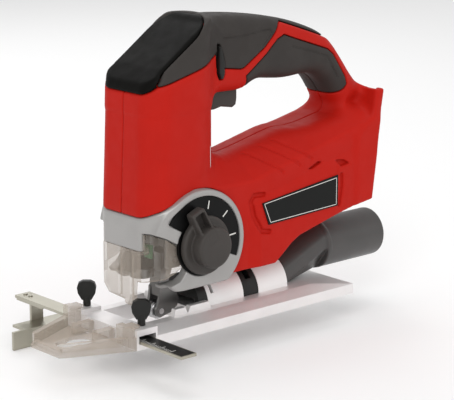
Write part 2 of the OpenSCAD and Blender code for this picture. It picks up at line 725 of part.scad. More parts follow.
// ---------- guides ----------
module guide_bar() {
    color(steel) difference() {
        block([bar_x - bar_w / 2, 102 - bar_len, 4], [bar_x + bar_w / 2, 102, 4 + bar_t]);
        for (y = [92, 98]) rod_z(3, 8, 1.5, bar_x, y);
    }
}
module guide_fence() {
    color(steel) {
        difference() {
            block([bar_x - 5, 72, 2.2], [bar_x + 5, 102, 4]);
            for (y = [92, 98]) rod_z(0, 8, 1.5, bar_x, y);
        }
        block([bar_x - 5, 84.5, -9.4], [bar_x + 5, 86.5, 2.3]);
        block([-109, fence_y - 1, -11], [-70, 86.5, -9.2]);
        block([-119, fence_y - 2, -22], [-58, fence_y, -9.2]);
        for (y = [92, 98]) rod_z(2.2, 6.8, 1.48, bar_x, y);
    }
}
module wing_screw(s) {
    color(black) {
        rod_z(13.8, 20, 2.6, screw_x, s * screw_y);
        translate([screw_x, s * screw_y, 0]) rotate([0, 0, -41.5]) along_y(-2.2, 2.2)
            polygon([[-3.2, 18], [3.2, 18], [5.8, 22.5], [6.4, 26.5], [5.4, 29.5], [2.6, 31],
                [-2.6, 31], [-5.4, 29.5], [-6.4, 26.5], [-5.8, 22.5]]);
        rod_z(6.3, 14, 2, screw_x, s * screw_y);
    }
}
module wing_screw_near() { wing_screw(-1); }
module wing_screw_far() { wing_screw(1); }
guide_front = -144;
module sight_guide() {
    back = block_x[0] - gap;
    color(clear) {
        difference() {
            along_z(0, 2.4) polygon([[guide_front, -15], [guide_front, 15], [guide_front + 3, 17.5],
                [back, 36.5], [back, -36.5], [guide_front + 3, -17.5]]);
            rod_z(-1, 4, 7, -127, 0);
            rod_z(-1, 4, 9, -116, 0);
            block([-127, -7, -1], [-116, 7, 4]);
        }
        both_sides() along_z(2.3, 9) polygon([[guide_front + 1, 13], [guide_front + 3, 17.5], [back, 36.5],
            [back, 31.5]]);
        block([guide_front + 0.5, -13.5, 2.3], [guide_front + 4, 13.5, 5]);
        both_sides() {
            block([back - 5, 22, 2.3], [back, 35, 16]);
            block([back - 5, 25.5, 13.9], [back + 5, 34, 16]);
            block([back - 14, 8, 2.3], [back, 14, 10]);
        }
    }
}

// ---------- dust spout ----------
module spout_outer(i) {
    hull() {
        translate([50 + gap, 0, tilt_z + 0.4]) intersection() {
            rod_x(0, 1, 19 - i, 0, 0, $fn = 32);
            block([0, -20, i], [1, 20, 20]);
        }
        rod_x(93, 94, spout_r - i, 0, spout_z, $fn = 32);
    }
}
module dust_spout() {
    color(dark) difference() {
        union() {
            spout_outer(0);
            rod_x(94, 150, spout_r, 0, spout_z);
            translate([0, 0, tilt_z]) intersection() {
                rod_x(38, 50.8, 14.7);
                block([30, -20, 0.4], [60, 20, 20]);
            }
        }
        difference() {
            spout_outer(2.2);
            block([93.5, -30, 0], [100, 30, 60]);
        }
        rod_x(93.4, 151, spout_bore, 0, spout_z);
        translate([0, 0, tilt_z]) intersection() {
            rod_x(37, 52, 12.6);
            block([30, -20, 2.4], [60, 20, 20]);
        }
    }
}

housing_left();
housing_right();
grip_left();
grip_right();
nose_cap();
gear_cover();
dial_plate();
label_left();
label_right();
housing_screws();
led_lens();
led_board();
gear_carrier();
gear_pin();
plunger_bushes();
front_bearing();
rear_bearing();
motor_can();
magnets();
end_bell();
brushes();
switch_body();
control_board();
wiring();
terminal_block();
battery_contacts();
tilt_saddle();
clamp_screw();
roller_pivot_pin();
drive_gear();
gear_bearing();
eccentric_pin();
counterweight();
armature_shaft();
armature_core();
commutator();
cooling_fan();
pinion();
plunger();
yoke();
blade_clamp();
clamp_lever();
roller_arm();
roller_axle();
guide_roller();
orbital_knob();
trigger();
lock_button();
chip_guard();
sole_plate();
bevel_drum();
drum_liner();
guide_bar();
guide_fence();
wing_screw_near();
wing_screw_far();
sight_guide();
dust_spout();
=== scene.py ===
"""Cordless jigsaw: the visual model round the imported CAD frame.

Shapes are worked out in millimetres as signed distances on a grid of points, meshed, and brought to metres.
-X is the blade end, +X the battery end, -Y the side with the orbital knob, +Z up.
"""

import json
import math

import bmesh
import bpy
import numpy as np
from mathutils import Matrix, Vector


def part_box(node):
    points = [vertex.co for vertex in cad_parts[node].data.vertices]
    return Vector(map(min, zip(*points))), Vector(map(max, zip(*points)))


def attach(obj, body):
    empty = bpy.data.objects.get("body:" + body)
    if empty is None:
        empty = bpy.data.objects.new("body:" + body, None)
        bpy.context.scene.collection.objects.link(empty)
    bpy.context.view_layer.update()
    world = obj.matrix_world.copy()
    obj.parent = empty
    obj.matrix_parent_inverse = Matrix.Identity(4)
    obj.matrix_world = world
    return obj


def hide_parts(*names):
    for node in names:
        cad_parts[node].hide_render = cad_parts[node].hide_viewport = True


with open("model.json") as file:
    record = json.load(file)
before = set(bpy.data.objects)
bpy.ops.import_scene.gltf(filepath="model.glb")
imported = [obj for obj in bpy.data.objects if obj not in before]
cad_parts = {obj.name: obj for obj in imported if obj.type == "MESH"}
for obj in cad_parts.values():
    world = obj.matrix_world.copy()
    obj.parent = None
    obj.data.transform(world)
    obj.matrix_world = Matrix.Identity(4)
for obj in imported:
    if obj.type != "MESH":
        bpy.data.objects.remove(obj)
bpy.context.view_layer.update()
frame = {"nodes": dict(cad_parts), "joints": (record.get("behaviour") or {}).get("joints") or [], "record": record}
MM = 0.001
DETAIL = 1.0  # coarser grids while trying things


def node_box(name):
    """Lowest and highest corner of a CAD node, in millimetres."""
    low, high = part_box(name)
    return [c / MM for c in low], [c / MM for c in high]


# ---------- places, in millimetres, from the frame ----------
joint_place = {j["name"]: [c / MM for c in j.get("pos_m", (0, 0, 0))] for j in frame["joints"]}
TILT_Z = joint_place["sole_tilt"][2]
KNOB_X, _, KNOB_Z = joint_place["orbital_turn"]
COLUMN_HALF = 32.0
BODY_HALF = 34.0
TOP_Z = 207.6  # highest point of the body
BROW_HALF = 25.0
HANDLE_HALF = 19.5
GRIP_T = 3.0
WALL = 2.6
SEAM = 0.22  # half the line between two shells
BEZEL_R = 36.4
DIAL_R = 32.0
KNOB_R = 19.7
FACE_R = 13.7
FLOOR_Z = node_box("guide_fence")[0][2]


# ---------- signed distances ----------
class Grid:
    """Sample points in millimetres, as three arrays that broadcast."""

    def __init__(self, low, high, step):
        self.low = np.array(low, dtype=np.float32)
        self.step = step * DETAIL
        ranges = []
        for a, b in zip(low, high):
            count = int(math.ceil((b - a) / self.step)) + 1
            ranges.append((a + self.step * np.arange(count)).astype(np.float32))
        self.x = ranges[0][:, None, None]
        self.y = ranges[1][None, :, None]
        self.z = ranges[2][None, None, :]


def smax(a, b, k):
    """The larger of two fields, with the edge between them rounded over k."""
    h = np.maximum(k - np.abs(a - b), 0) / k
    return np.maximum(a, b) + h * h * k * 0.25


def smin(a, b, k):
    return -smax(-a, -b, k)


def outline(points, u, v):
    """Signed distance to a closed outline, negative inside."""
    best = None
    inside = False
    for (au, av), (bu, bv) in zip(points, points[1:] + points[:1]):
        eu, ev = bu - au, bv - av
        pu, pv = u - au, v - av
        t = np.clip((pu * eu + pv * ev) / (eu * eu + ev * ev), 0, 1)
        reach = (pu - eu * t) ** 2 + (pv - ev * t) ** 2
        best = reach if best is None else np.minimum(best, reach)
        side = eu * pv - ev * pu
        crosses = ((av <= v) & (bv > v) & (side > 0)) | ((bv <= v) & (av > v) & (side < 0))
        inside = inside ^ crosses
    return np.where(inside, -1, 1) * np.sqrt(best)


def line_distance(points, u, v):
    """Distance to an open line of points."""
    best = None
    for (au, av), (bu, bv) in zip(points, points[1:]):
        eu, ev = bu - au, bv - av
        pu, pv = u - au, v - av
        t = np.clip((pu * eu + pv * ev) / (eu * eu + ev * ev), 0, 1)
        reach = np.sqrt((pu - eu * t) ** 2 + (pv - ev * t) ** 2)
        best = reach if best is None else np.minimum(best, reach)
    return best


def soften(points, passes=2, closed=False):
    """Corner cutting, so that an outline of few points becomes a smooth curve."""
    for _ in range(passes):
        pairs = list(zip(points, points[1:] + (points[:1] if closed else [])))
        cut = [] if closed else [points[0]]
        for (au, av), (bu, bv) in pairs:
            cut.append((0.75 * au + 0.25 * bu, 0.75 * av + 0.25 * bv))
            cut.append((0.25 * au + 0.75 * bu, 0.25 * av + 0.75 * bv))
        points = cut if closed else cut + [points[-1]]
    return points


def arc(cu, cv, r, a0, a1, n):
    """Points along an arc, angles in degrees."""
    angles = [math.radians(a0 + (a1 - a0) * i / n) for i in range(n + 1)]
    return [(cu + r * math.cos(a), cv + r * math.sin(a)) for a in angles]


def box_field(g, low, high, k=0.6):
    d = smax(low[0] - g.x, g.x - high[0], k)
    d = smax(d, smax(low[1] - g.y, g.y - high[1], k), k)
    return smax(d, smax(low[2] - g.z, g.z - high[2], k), k)


# ---------- meshing ----------
def sample(f, p):
    """A field's value at points given in grid steps."""
    top = np.array(f.shape) - 2
    i = np.clip(np.floor(p).astype(int), 0, top)
    t = (p - i).astype(np.float32)
    total = 0
    for dx in (0, 1):
        for dy in (0, 1):
            for dz in (0, 1):
                wx = t[:, 0] if dx else 1 - t[:, 0]
                wy = t[:, 1] if dy else 1 - t[:, 1]
                wz = t[:, 2] if dz else 1 - t[:, 2]
                total = total + wx * wy * wz * f[i[:, 0] + dx, i[:, 1] + dy, i[:, 2] + dz]
    return total


def gradient(f, p, reach=0.5):
    steps = np.eye(3) * reach
    return np.stack([(sample(f, p + s) - sample(f, p - s)) / (2 * reach) for s in steps], axis=1)


def skin(f):
    """Vertices in grid steps, and quads, of the surface where a field is zero."""
    full = np.pad(f, 1, constant_values=9.0).astype(np.float32)
    inside = full < 0
    nx, ny, nz = (n - 1 for n in full.shape)
    count = np.zeros((nx, ny, nz), dtype=np.int8)
    for dx in (0, 1):
        for dy in (0, 1):
            for dz in (0, 1):
                count += inside[dx : dx + nx, dy : dy + ny, dz : dz + nz]
    cells = np.argwhere((count > 0) & (count < 8))
    number = np.full((nx, ny, nz), -1, dtype=np.int64)
    number[tuple(cells.T)] = np.arange(len(cells))
    place = np.zeros((len(cells), 3))
    hits = np.zeros(len(cells))
    quads = []
    for axis in range(3):
        step = np.eye(3, dtype=int)[axis]
        others = [i for i in range(3) if i != axis]
        for p in (0, 1):
            for q in (0, 1):
                offset = np.zeros(3, dtype=int)
                offset[others[0]], offset[others[1]] = p, q
                a = full[tuple((cells + offset).T)]
                b = full[tuple((cells + offset + step).T)]
                cross = (a < 0) != (b < 0)
                t = np.where(cross, a / np.where(cross, a - b, 1), 0)
                place += np.where(cross[:, None], offset + t[:, None] * step, 0)
                hits += cross
        low = [slice(None)] * 3
        high = [slice(None)] * 3
        low[axis], high[axis] = slice(None, -1), slice(1, None)
        edges = np.argwhere(inside[tuple(low)] != inside[tuple(high)])
        u, v = np.eye(3, dtype=int)[(axis + 1) % 3], np.eye(3, dtype=int)[(axis + 2) % 3]
        ring = [edges - u - v, edges - v, edges, edges - u]
        quad = np.stack([number[tuple(c.T)] for c in ring], axis=1)
        flip = ~inside[tuple(edges.T)]
        quad[flip] = quad[flip][:, ::-1]
        quads.append(quad)
    place = cells + place / hits[:, None] - 1
    return place, np.concatenate(quads)


FACE_LIMIT = 95000


def build(name, g, f, body, material, replaced=(), limit=FACE_LIMIT):
    """Meshes a field, sets smooth normals from it, and puts the piece on its body."""
    f = np.ascontiguousarray(np.broadcast_to(f, np.broadcast_shapes(f.shape, (g.x + g.y + g.z).shape)))
    f = f.astype(np.float32)
    place, quads = skin(f)
    for _ in range(3):
        slope = gradient(f, place)
        size = np.maximum((slope**2).sum(1), 0.04 * g.step**2)
        place = place - np.clip(sample(f, place)[:, None] * slope / size[:, None], -0.4, 0.4)
    mesh = bpy.data.meshes.new(name)
    mesh.from_pydata((g.low + place * g.step) * MM, [], quads.tolist())
    obj = bpy.data.objects.new(name, mesh)
    bpy.context.scene.collection.objects.link(obj)
    if len(quads) > limit:
        thin = obj.modifiers.new("thin", "DECIMATE")
        thin.ratio = limit / len(quads)
        bpy.context.view_layer.update()
        reduced = bpy.data.meshes.new_from_object(obj.evaluated_get(bpy.context.evaluated_depsgraph_get()))
        obj.modifiers.clear()
        obj.data = reduced
        mesh = reduced
    points = np.empty(len(mesh.vertices) * 3, dtype=np.float32)
    mesh.vertices.foreach_get("co", points)
    points = (points.reshape(-1, 3) / MM - g.low) / g.step
    normals = gradient(f, points, 0.6)
    normals /= np.maximum(np.linalg.norm(normals, axis=1), 1e-6)[:, None]
    mesh.shade_smooth()
    mesh.normals_split_custom_set_from_vertices(normals.tolist())
    mesh.name = name
    mesh.materials.append(material)
    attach(obj, body)
    if replaced:
        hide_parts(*replaced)
    return obj


# ---------- materials ----------
def new_material(name):
    m = bpy.data.materials.new(name)
    m.use_nodes = True
    return m, m.node_tree.nodes, m.node_tree.links, m.node_tree.nodes["Principled BSDF"]


def noise(nodes, links, scale, detail=3.0, stretch=(1, 1, 1)):
    coords = nodes.new("ShaderNodeTexCoord")
    mapping = nodes.new("ShaderNodeMapping")
    mapping.inputs["Scale"].default_value = stretch
    texture = nodes.new("ShaderNodeTexNoise")
    texture.inputs["Scale"].default_value = scale
    texture.inputs["Detail"].default_value = detail
    links.new(coords.outputs["Object"], mapping.inputs["Vector"])
    links.new(mapping.outputs["Vector"], texture.inputs["Vector"])
    return texture.outputs["Fac"]


def spread(nodes, links, source, low, high):
    """Maps a noise's middle range to low..high."""
    node = nodes.new("ShaderNodeMapRange")
    node.inputs["From Min"].default_value = 0.3
    node.inputs["From Max"].default_value = 0.7
    node.inputs["To Min"].default_value = low
    node.inputs["To Max"].default_value = high
    links.new(source, node.inputs["Value"])
    return node.outputs["Result"]


def surface(name, color, rough, grain=0.0, grain_scale=1800, metallic=0.0, vary=0.06,
            stretch=(1, 1, 1), specular=0.5):
    """A surface with slight colour and gloss variation, and a fine grain in its relief."""
    m, nodes, links, shader = new_material(name)
    mix = nodes.new("ShaderNodeMix")
    mix.data_type = "RGBA"
    mix.inputs["A"].default_value = (*[c * (1 - vary) for c in color], 1)
    mix.inputs["B"].default_value = (*[min(1, c * (1 + vary)) for c in color], 1)
    links.new(spread(nodes, links, noise(nodes, links, 45, 4), 0, 1), mix.inputs["Factor"])
    links.new(mix.outputs["Result"], shader.inputs["Base Color"])
    gloss = spread(nodes, links, noise(nodes, links, 120, 3, stretch), rough * 0.88, rough * 1.12)
    links.new(gloss, shader.inputs["Roughness"])
    shader.inputs["Metallic"].default_value = metallic
    shader.inputs["Specular IOR Level"].default_value = specular
    if grain:
        bump = nodes.new("ShaderNodeBump")
        bump.inputs["Strength"].default_value = grain
        bump.inputs["Distance"].default_value = 0.0002
        links.new(noise(nodes, links, grain_scale, 2, stretch), bump.inputs["Height"])
        links.new(bump.outputs["Normal"], shader.inputs["Normal"])
    return m


def clear_plastic():
    """Clear moulded plastic: mostly see-through, with gloss on its edges and a faint warm tint."""
    m, nodes, links, shader = new_material("clear_plastic")
    shader.inputs["Base Color"].default_value = (0.50, 0.43, 0.36, 1)
    shader.inputs["Roughness"].default_value = 0.05
    shader.inputs["IOR"].default_value = 1.45
    facing = nodes.new("ShaderNodeLayerWeight")
    facing.inputs["Blend"].default_value = 0.5
    alpha = nodes.new("ShaderNodeMapRange")
    alpha.inputs["To Min"].default_value = 0.08
    alpha.inputs["To Max"].default_value = 0.85
    links.new(facing.outputs["Facing"], alpha.inputs["Value"])
    links.new(alpha.outputs["Result"], shader.inputs["Alpha"])
    return m


RED = surface("red_plastic", (0.47, 0.0095, 0.004), 0.58, 0.12, 2400, vary=0.03, specular=0.14)
GRIP = surface("soft_grip", (0.036, 0.031, 0.028), 0.62, 0.35, 2600, vary=0.10, specular=0.25)
CAP = surface("cap_plastic", (0.003, 0.0028, 0.0022), 0.52, 0.25, 2600, vary=0.10, specular=0.07)
SILVER = surface("cast_silver", (0.37, 0.36, 0.35), 0.38, 0.15, 2600, metallic=0.35, vary=0.04)
DIAL = surface("dial_black", (0.003, 0.003, 0.003), 0.42, vary=0.05, specular=0.14)
LABEL = surface("label_black", (0.004, 0.0045, 0.004), 0.36, vary=0.05, specular=0.16)
PRINT = surface("pale_print", (0.75, 0.74, 0.70), 0.4, vary=0.04)
KNOB = surface("knob_plastic", (0.050, 0.044, 0.040), 0.48, 0.30, 2200, vary=0.08, specular=0.25)
BLACK = surface("black_plastic", (0.011, 0.011, 0.010), 0.42, 0.15, 2200, vary=0.10, specular=0.3)
SPOUT = surface("spout_plastic", (0.062, 0.058, 0.056), 0.40, 0.20, 2200, vary=0.08)
WHITE = surface("white_plastic", (0.93, 0.925, 0.92), 0.35, 0.05, 2000, vary=0.02)
CLEAR = clear_plastic()
SOLE = surface("sole_metal", (0.86, 0.835, 0.83), 0.46, 0.35, 900, metallic=0.6, vary=0.04,
               stretch=(0.05, 1, 1))
GUIDE = surface("guide_steel", (0.44, 0.42, 0.35), 0.34, 0.25, 900, metallic=0.9, vary=0.06,
                stretch=(1, 0.05, 1))
SCREW = surface("screw_steel", (0.55, 0.55, 0.56), 0.28, 0.1, 1500, metallic=1.0, vary=0.05)
BRIGHT = surface("bright_steel", (0.75, 0.75, 0.76), 0.14, 0.05, 1500, metallic=1.0, vary=0.04)
GEAR = surface("gear_steel", (0.20, 0.195, 0.19), 0.34, 0.15, 1500, metallic=0.9, vary=0.10)
MOTOR = surface("motor_steel", (0.50, 0.50, 0.50), 0.32, 0.15, 1500, metallic=1.0, vary=0.06)
FERRITE = surface("magnet_ferrite", (0.06, 0.06, 0.065), 0.6, 0.4, 1500, vary=0.10)
COPPER = surface("copper_wire", (0.62, 0.28, 0.12), 0.3, 0.3, 1500, metallic=1.0, vary=0.08)
BRONZE = surface("bronze_bush", (0.50, 0.33, 0.14), 0.38, 0.3, 1500, metallic=1.0, vary=0.08)
BOARD = surface("board_green", (0.03, 0.16, 0.06), 0.35, 0.2, 1500, vary=0.10)
CARRIER = surface("carrier_alloy", (0.58, 0.58, 0.58), 0.45, 0.5, 1200, metallic=0.9, vary=0.06)
FAN = surface("fan_plastic", (0.75, 0.74, 0.70), 0.45, 0.1, 1500, vary=0.04)
WIRE = surface("wire_red", (0.5, 0.03, 0.03), 0.4, 0.1, 1500, vary=0.05)

FINISH = {
    "red_plastic": RED, "soft_grip": GRIP, "cap_plastic": CAP, "cast_silver": SILVER, "dial_black": DIAL,
    "label_black": LABEL, "knob_plastic": KNOB, "black_plastic": BLACK, "spout_plastic": SPOUT,
    "white_plastic": WHITE, "clear_plastic": CLEAR, "sole_metal": SOLE, "guide_steel": GUIDE,
    "screw_steel": SCREW, "bright_steel": BRIGHT, "gear_steel": GEAR, "motor_steel": MOTOR,
    "magnet_ferrite": FERRITE, "copper_wire": COPPER, "bronze_bush": BRONZE, "board_green": BOARD,
    "carrier_alloy": CARRIER, "fan_plastic": FAN, "wire_red": WIRE,
}


# ---------- the body's outer surface ----------
# Side outlines: the brow, the handle's top and underside, and the lower body
RIDGE = [(-80.5, 140), (-79.3, 160.5), (-78.6, 167.4), (-24, 205.7), (-18, 206.9), (-8, 206), (-2, 204),
         (-2, 140)]
HANDLE_TOP = [(-20, 203.5), (-14, 205.6), (0, 205.3), (28, 202.3), (55, 197.5), (79, 189.5), (90, 184),
              (97.5, 178), (107.7, 165.5), (116.3, 154), (123, 147), (127.5, 136)]
HANDLE_LOW = [(104, 128), (98, 139), (91, 149), (86, 153.5), (80, 156.8), (70, 157.2), (54, 156),
              (40, 157.5), (30, 158.8), (22, 157), (14, 152.6), (-2, 153), (-20, 153)]
LOWER_TOP = [(-8, 112.5), (-2, 110.5), (12, 112.5), (40, 119), (52, 121.5), (68, 120.5), (97, 126)]
LOWER_REAR = [(106, 131), (126, 131), (118, 66)]
LOWER_UNDER = [(91, 60.5), (81, 58.3), (58, 52.7), (45, 49.4), (29, 36.9), (25.6, 34.6)]
FLANK_Z = 34.4  # lower edge of the body's upright sides


def plan_field(g):
    """The column from above: a flat front, a broad chamfer each side, and a rounded rear."""
    lean = np.clip(g.z - 85, 0, None) * 0.0475
    front = -80.8 + lean - g.x
    chamfer = -0.769 * (g.x + 80.8 - lean) + 0.639 * (np.abs(g.y) - 19)
    side = np.abs(g.y) - COLUMN_HALF
    rear = smax(0.658 * (g.x + 33) + 0.752 * (np.abs(g.y) - COLUMN_HALF), g.x + 15, 10)
    return smax(smax(smax(front, chamfer, 3), side, 5), rear, 10)


def flank_field(g):
    """The column's sides, upright at first, then closing in to the cap's flat sloping top."""
    plane = 167.4 + 0.7 * (g.x + 78.4)
    line = np.interp(g.x, [-80, -70, -45, -17, 10], [156, 164.5, 173, 179.6, 186])
    rise = np.clip((g.z - line) / np.maximum(plane - line, 4), 0, 1.2)
    return (np.abs(g.y) - COLUMN_HALF + (COLUMN_HALF - BROW_HALF) * rise) * 0.93


def column_field(g):
    low = 31.8 - g.z
    high = g.z - 164 - 0.3 * np.clip(g.x + 70, 0, None)
    corner = 0.7 * (np.abs(g.y) - 27) - 0.714 * (g.z - 35)
    shape = smax(plan_field(g), flank_field(g), 1)
    return smax(smax(shape, smax(low, corner, 2), 2), high, 2)


def brow_field(g):
    side = outline(soften(RIDGE, 1, True), g.x, g.z)
    return smax(smax(side, flank_field(g), 3), smax(plan_field(g), 148 - g.z, 2), 2.5)


def handle_field(g):
    side = outline(soften(HANDLE_TOP, 2) + soften(HANDLE_LOW, 2), g.x, g.z)
    return smax(side, np.abs(g.y) - HANDLE_HALF, 15)


def lower_field(g):
    points = [(-40, 110), (-15, 118)] + soften(LOWER_TOP, 1) + LOWER_REAR + soften(LOWER_UNDER, 1)
    side = outline(points + [(-21, 33.4), (-40, 33.4)], g.x, g.z)
    ay = np.abs(g.y)
    crease = 94 + np.clip(g.x - 7, 0, None) * 0.24
    shoulder = 0.66 * (ay - 33) + 0.75 * (g.z - crease)
    belly = np.minimum(FLANK_Z - g.z, ay - 24)
    top = 81.7 + (g.x - 11.7) * 0.2537
    step = np.where(g.x < 85, 78.9 + (g.x - 11.7) * 0.1224, 91.2 + (g.x - 85) * 0.12)
    proud = np.clip((top - g.z) / np.maximum(top - step, 1), 0, 1) * np.clip((g.x - 2) / 10, 0, 1)
    flank = ay - (BODY_HALF - 2) - 2 * proud
    return smax(smax(smax(side, shoulder, 5), flank, 1.5), belly, 1.2)


def foot_field(g):
    side = outline([(104, 66), (104, 112), (119.5, 124), (123, 143), (131.3, 143), (118, 66)], g.x, g.z)
    return smax(side, np.abs(g.y) - BODY_HALF + 0.6, 3.5)


def body_field(g):
    """The outer surface before it is cut into shells."""
    d = smin(column_field(g), brow_field(g), 2)
    d = smax(smin(d, handle_field(g), 9), g.z - TOP_Z, 3)
    lower = smin(lower_field(g), foot_field(g), 5)
    d = smin(d, lower, 7)
    # Three curved lines over the motor, a C-shaped channel round the plate, and two vents
    for points in ([(-19, 121.5), (-6, 119), (6, 114.5), (20, 107), (34, 97)],
                   [(-6, 125.5), (10, 121), (24, 115.5), (37, 108.5), (50, 99.5)],
                   [(7, 129), (22, 124), (36, 118), (48, 111), (61, 102.5)]):
        groove = smax(line_distance(points, g.x, g.z) - 0.8, 14 - np.abs(g.y), 1)
        d = smax(d, -smax(groove, -d - 1.0, 0.8), 0.6)
    front_line = [(16.5, 84), (7.6, 84.6), (4.6, 80.5), (7, 70), (13, 59.5), (20, 58)]
    rear_line = [(88.2, 87.5), (88.6, 80), (86.2, 66)]
    channel = line_distance(front_line, g.x, g.z) - 1.5
    channel = np.minimum(channel, line_distance(rear_line, g.x, g.z) - 1.3)
    vents = outline([(57.4, 95.1), (66.7, 99.3), (72, 98.8), (62, 95)], g.x, g.z)
    vents = np.minimum(vents, outline([(83.5, 98), (88, 93), (96.4, 94.3), (91, 97.4)], g.x, g.z))
    flank_only = 26 - np.abs(g.y)
    cut = smax(smax(channel, flank_only, 1), -d - 2.0, 0.8)
    cut = np.minimum(cut, smax(smax(vents, flank_only, 1), -d - 3.0, 0.8))
    return smax(d, -cut, 1.0)


# ---------- where one shell ends and the next begins ----------
CAP_SIDE = [(-100, 160.5), (-80.8, 160.5), (-74, 163.5), (-70, 166.5), (-70.4, 167.6), (-65, 175.3),
            (-60, 190), (-100, 190)]
RED_LINE = [(-70, 166.5), (-45, 173.3), (-17, 179.6), (-14.4, 181.5)]


def cap_zone(g):
    """The front band, and the flat sloping top with its rounded end."""
    end = np.clip((g.x + 40) / 20.4, 0, 1)
    half = (BROW_HALF - 0.4) * np.sqrt(1 - end**2.6)
    top = smax(np.abs(g.y) - half, 160 + 0.7 * (g.x + 78.4) - g.z, 0.5)
    top = smax(top, g.x + 20, 0.5)
    return np.minimum(outline(CAP_SIDE, g.x, g.z), top)


def front_grip_zone(g):
    """The soft grip from the cap over the handle's top, with the front side panel."""
    points = RED_LINE + [(-14.2, 172.5), (-8, 170.9), (7, 168.8), (10, 169.4), (28.5, 181), (36, 188),
                         (44, 195.2), (47, 196.4), (104, 177), (112, 176), (104, 220), (-100, 220),
                         (-100, 150)]
    return outline(points, g.x, g.z)


def rear_grip_zone(g):
    tip = soften([(107, 147), (104, 143), (97, 140), (90, 139)], 1)
    points = [(46.5, 188), (58, 184), (88, 174), (94, 169.8), (105.5, 153)] + tip + [
        (84, 128), (60, 140), (20, 140), (14.5, 158), (12.2, 163.8), (13.5, 164.5), (30, 176.5),
        (40, 185.5)]
    return outline(points, g.x, g.z)


def cover_zone(g):
    """The cast cover: the front band, the bezel round the knob, and the foot below them."""
    edge = 80.4 - 2.2 * np.clip(1 - (g.y / 19) ** 2, 0, 1) * (g.x < -78)
    rise = soften([(-84, 80.5), (-79, 81.2), (-69, 87), (-60, 90.2), (-52, 93.5), (-44, 97)], 2)
    ring = arc(KNOB_X, KNOB_Z, BEZEL_R, 96, -50, 24)
    points = [(-100, 79.6)] + rise + ring + [(-20, 20), (-100, 20)]
    zone = outline(points, g.x, g.z)
    return np.where(g.x < -78.5, np.minimum(zone, g.z - edge), zone)


WINDOW = [(-100, 20), (-100, 71.4), (-76, 71), (-68.5, 67.8), (-57.7, 61.2), (-55.2, 58.2), (-55.2, 54),
          (-56.2, 50), (-54.4, 46), (-57, 42), (-60, 38.6), (-66, 35.6), (-66, 20)]


def battery_slot(g):
    """The recess for the battery's rails in the rear face."""
    floor = 114.4 + (g.z - 74) * 13.1 / 76 - g.x
    mouth = smax(smax(floor, np.abs(g.y) - 26, 1), 74 - g.z, 1)
    under = smax(smax(smax(floor, -floor - 2.5, 0.6), np.abs(g.y) - 29, 0.6), 74 - g.z, 0.6)
    terminals = smax(smax(floor - 4, np.abs(g.y) - 10, 0.6), np.abs(g.z - 93.5) - 5.5, 0.6)
    return np.minimum(np.minimum(mouth, under), terminals)


def button_slots(g):
    trigger = box_field(g, (-14, -9, 130), (15.5, 9, 164), 1)
    points = [(-13.4, 188), (-11.2, 187), (-7.6, 176), (-7.6, 167), (-9.2, 163.4), (-11.6, 163.4),
              (-13.9, 168)]
    lock = outline(points, g.x, g.z)
    return np.minimum(trigger, smax(lock, np.abs(g.y) - 26, 1))


SCREWS = [(-30, 160), (-22, 192), (52, 178), (103, 161), (103, 76), (100, 118), (36, 46)]


def halves(g, f, name, body, material, limit=FACE_LIMIT):
    """The left and the right shell, parted by a fine seam, with screw recesses on the right."""
    bores = None
    for x, z in SCREWS:
        radial = np.sqrt((g.x - x) ** 2 + (g.z - z) ** 2)
        bore = smax(radial - 3.7, 6 - g.y, 0.5)
        bores = bore if bores is None else np.minimum(bores, bore)
    pieces = []
    for side, sign in (("left", 1), ("right", -1)):
        shell = smax(f, sign * g.y + SEAM / 2, 0.35)
        if side == "right":
            shell = smax(shell, -bores, 0.6)
        node = f"{name}_{side}"
        pieces.append(build(f"{name}_shell_{side}", g, shell, body, material, [node], limit))
    return pieces


def make_body():
    g = Grid((-84, -37, 28), (136, 37, 214), 0.9)
    outer = body_field(g)
    cap = cap_zone(g)
    front = smax(front_grip_zone(g), -cap, 0.5)
    rear = rear_grip_zone(g)
    grip = np.minimum(front, rear)
    slots = button_slots(g)
    soft = smax(smax(outer, grip + SEAM, 1.2), -(outer + GRIP_T), 0.6)
    soft = smax(soft, -slots, 0.6)
    for points in ([(-9, 191.1), (6, 190.4), (19, 192), (34, 192.6), (35.3, 190.1), (26, 182.3)],
                   [(53.5, 179.1), (70.5, 174.6), (87, 169), (98.5, 153)]):
        line = smax(line_distance(points, g.x, g.z) - 0.45, 14 - np.abs(g.y), 1)
        soft = smax(soft, -smax(line, -outer - 0.9, 0.5), 0.5)
    halves(g, soft, "grip", "root", GRIP)
    nose = smax(smax(outer, cap + SEAM, 1.4), -(outer + GRIP_T), 0.6)
    build("nose_cap_shell", g, nose, "root", CAP, ["nose_cap"])
    bare = smax(outer, -(np.minimum(grip, cap) - SEAM), 1.0)
    bare = smax(bare, -(cover_zone(g) - SEAM), 0.8)
    bare = smax(bare, -box_field(g, (-100, -50, 0), (-21, 50, 59)), 0.6)
    core = outer + GRIP_T
    under_cover = smax(core, -(cover_zone(g) - SEAM), 0.8)
    covered = smax(smax(np.minimum(bare, under_cover), -(core + WALL), 0.8), -slots, 0.6)
    solid_rear = smax(outer, 111.4 - (g.x - (g.z - 74) * 13.1 / 76), 0.8)
    covered = np.minimum(covered, smax(solid_rear, -(np.minimum(grip, cap) - SEAM), 1.0))
    covered = smax(covered, -battery_slot(g), 0.6)
    saddle = box_field(g, (-19.7, -12.2, 20), (44.2, 12.2, 41), 0.5)
    covered = smax(covered, -saddle, 0.5)
    halves(g, covered, "housing", "root", RED, 98000)


# Room that the sole's edges sweep through as it tilts, in half width and height
SOLE_SWEEP = [(10, 0), (10, 20), (19, 30.7), (29, 35), (34.3, 29.6), (35.3, 27.3), (36.3, 24.9), (39, 16),
              (39, 0)]


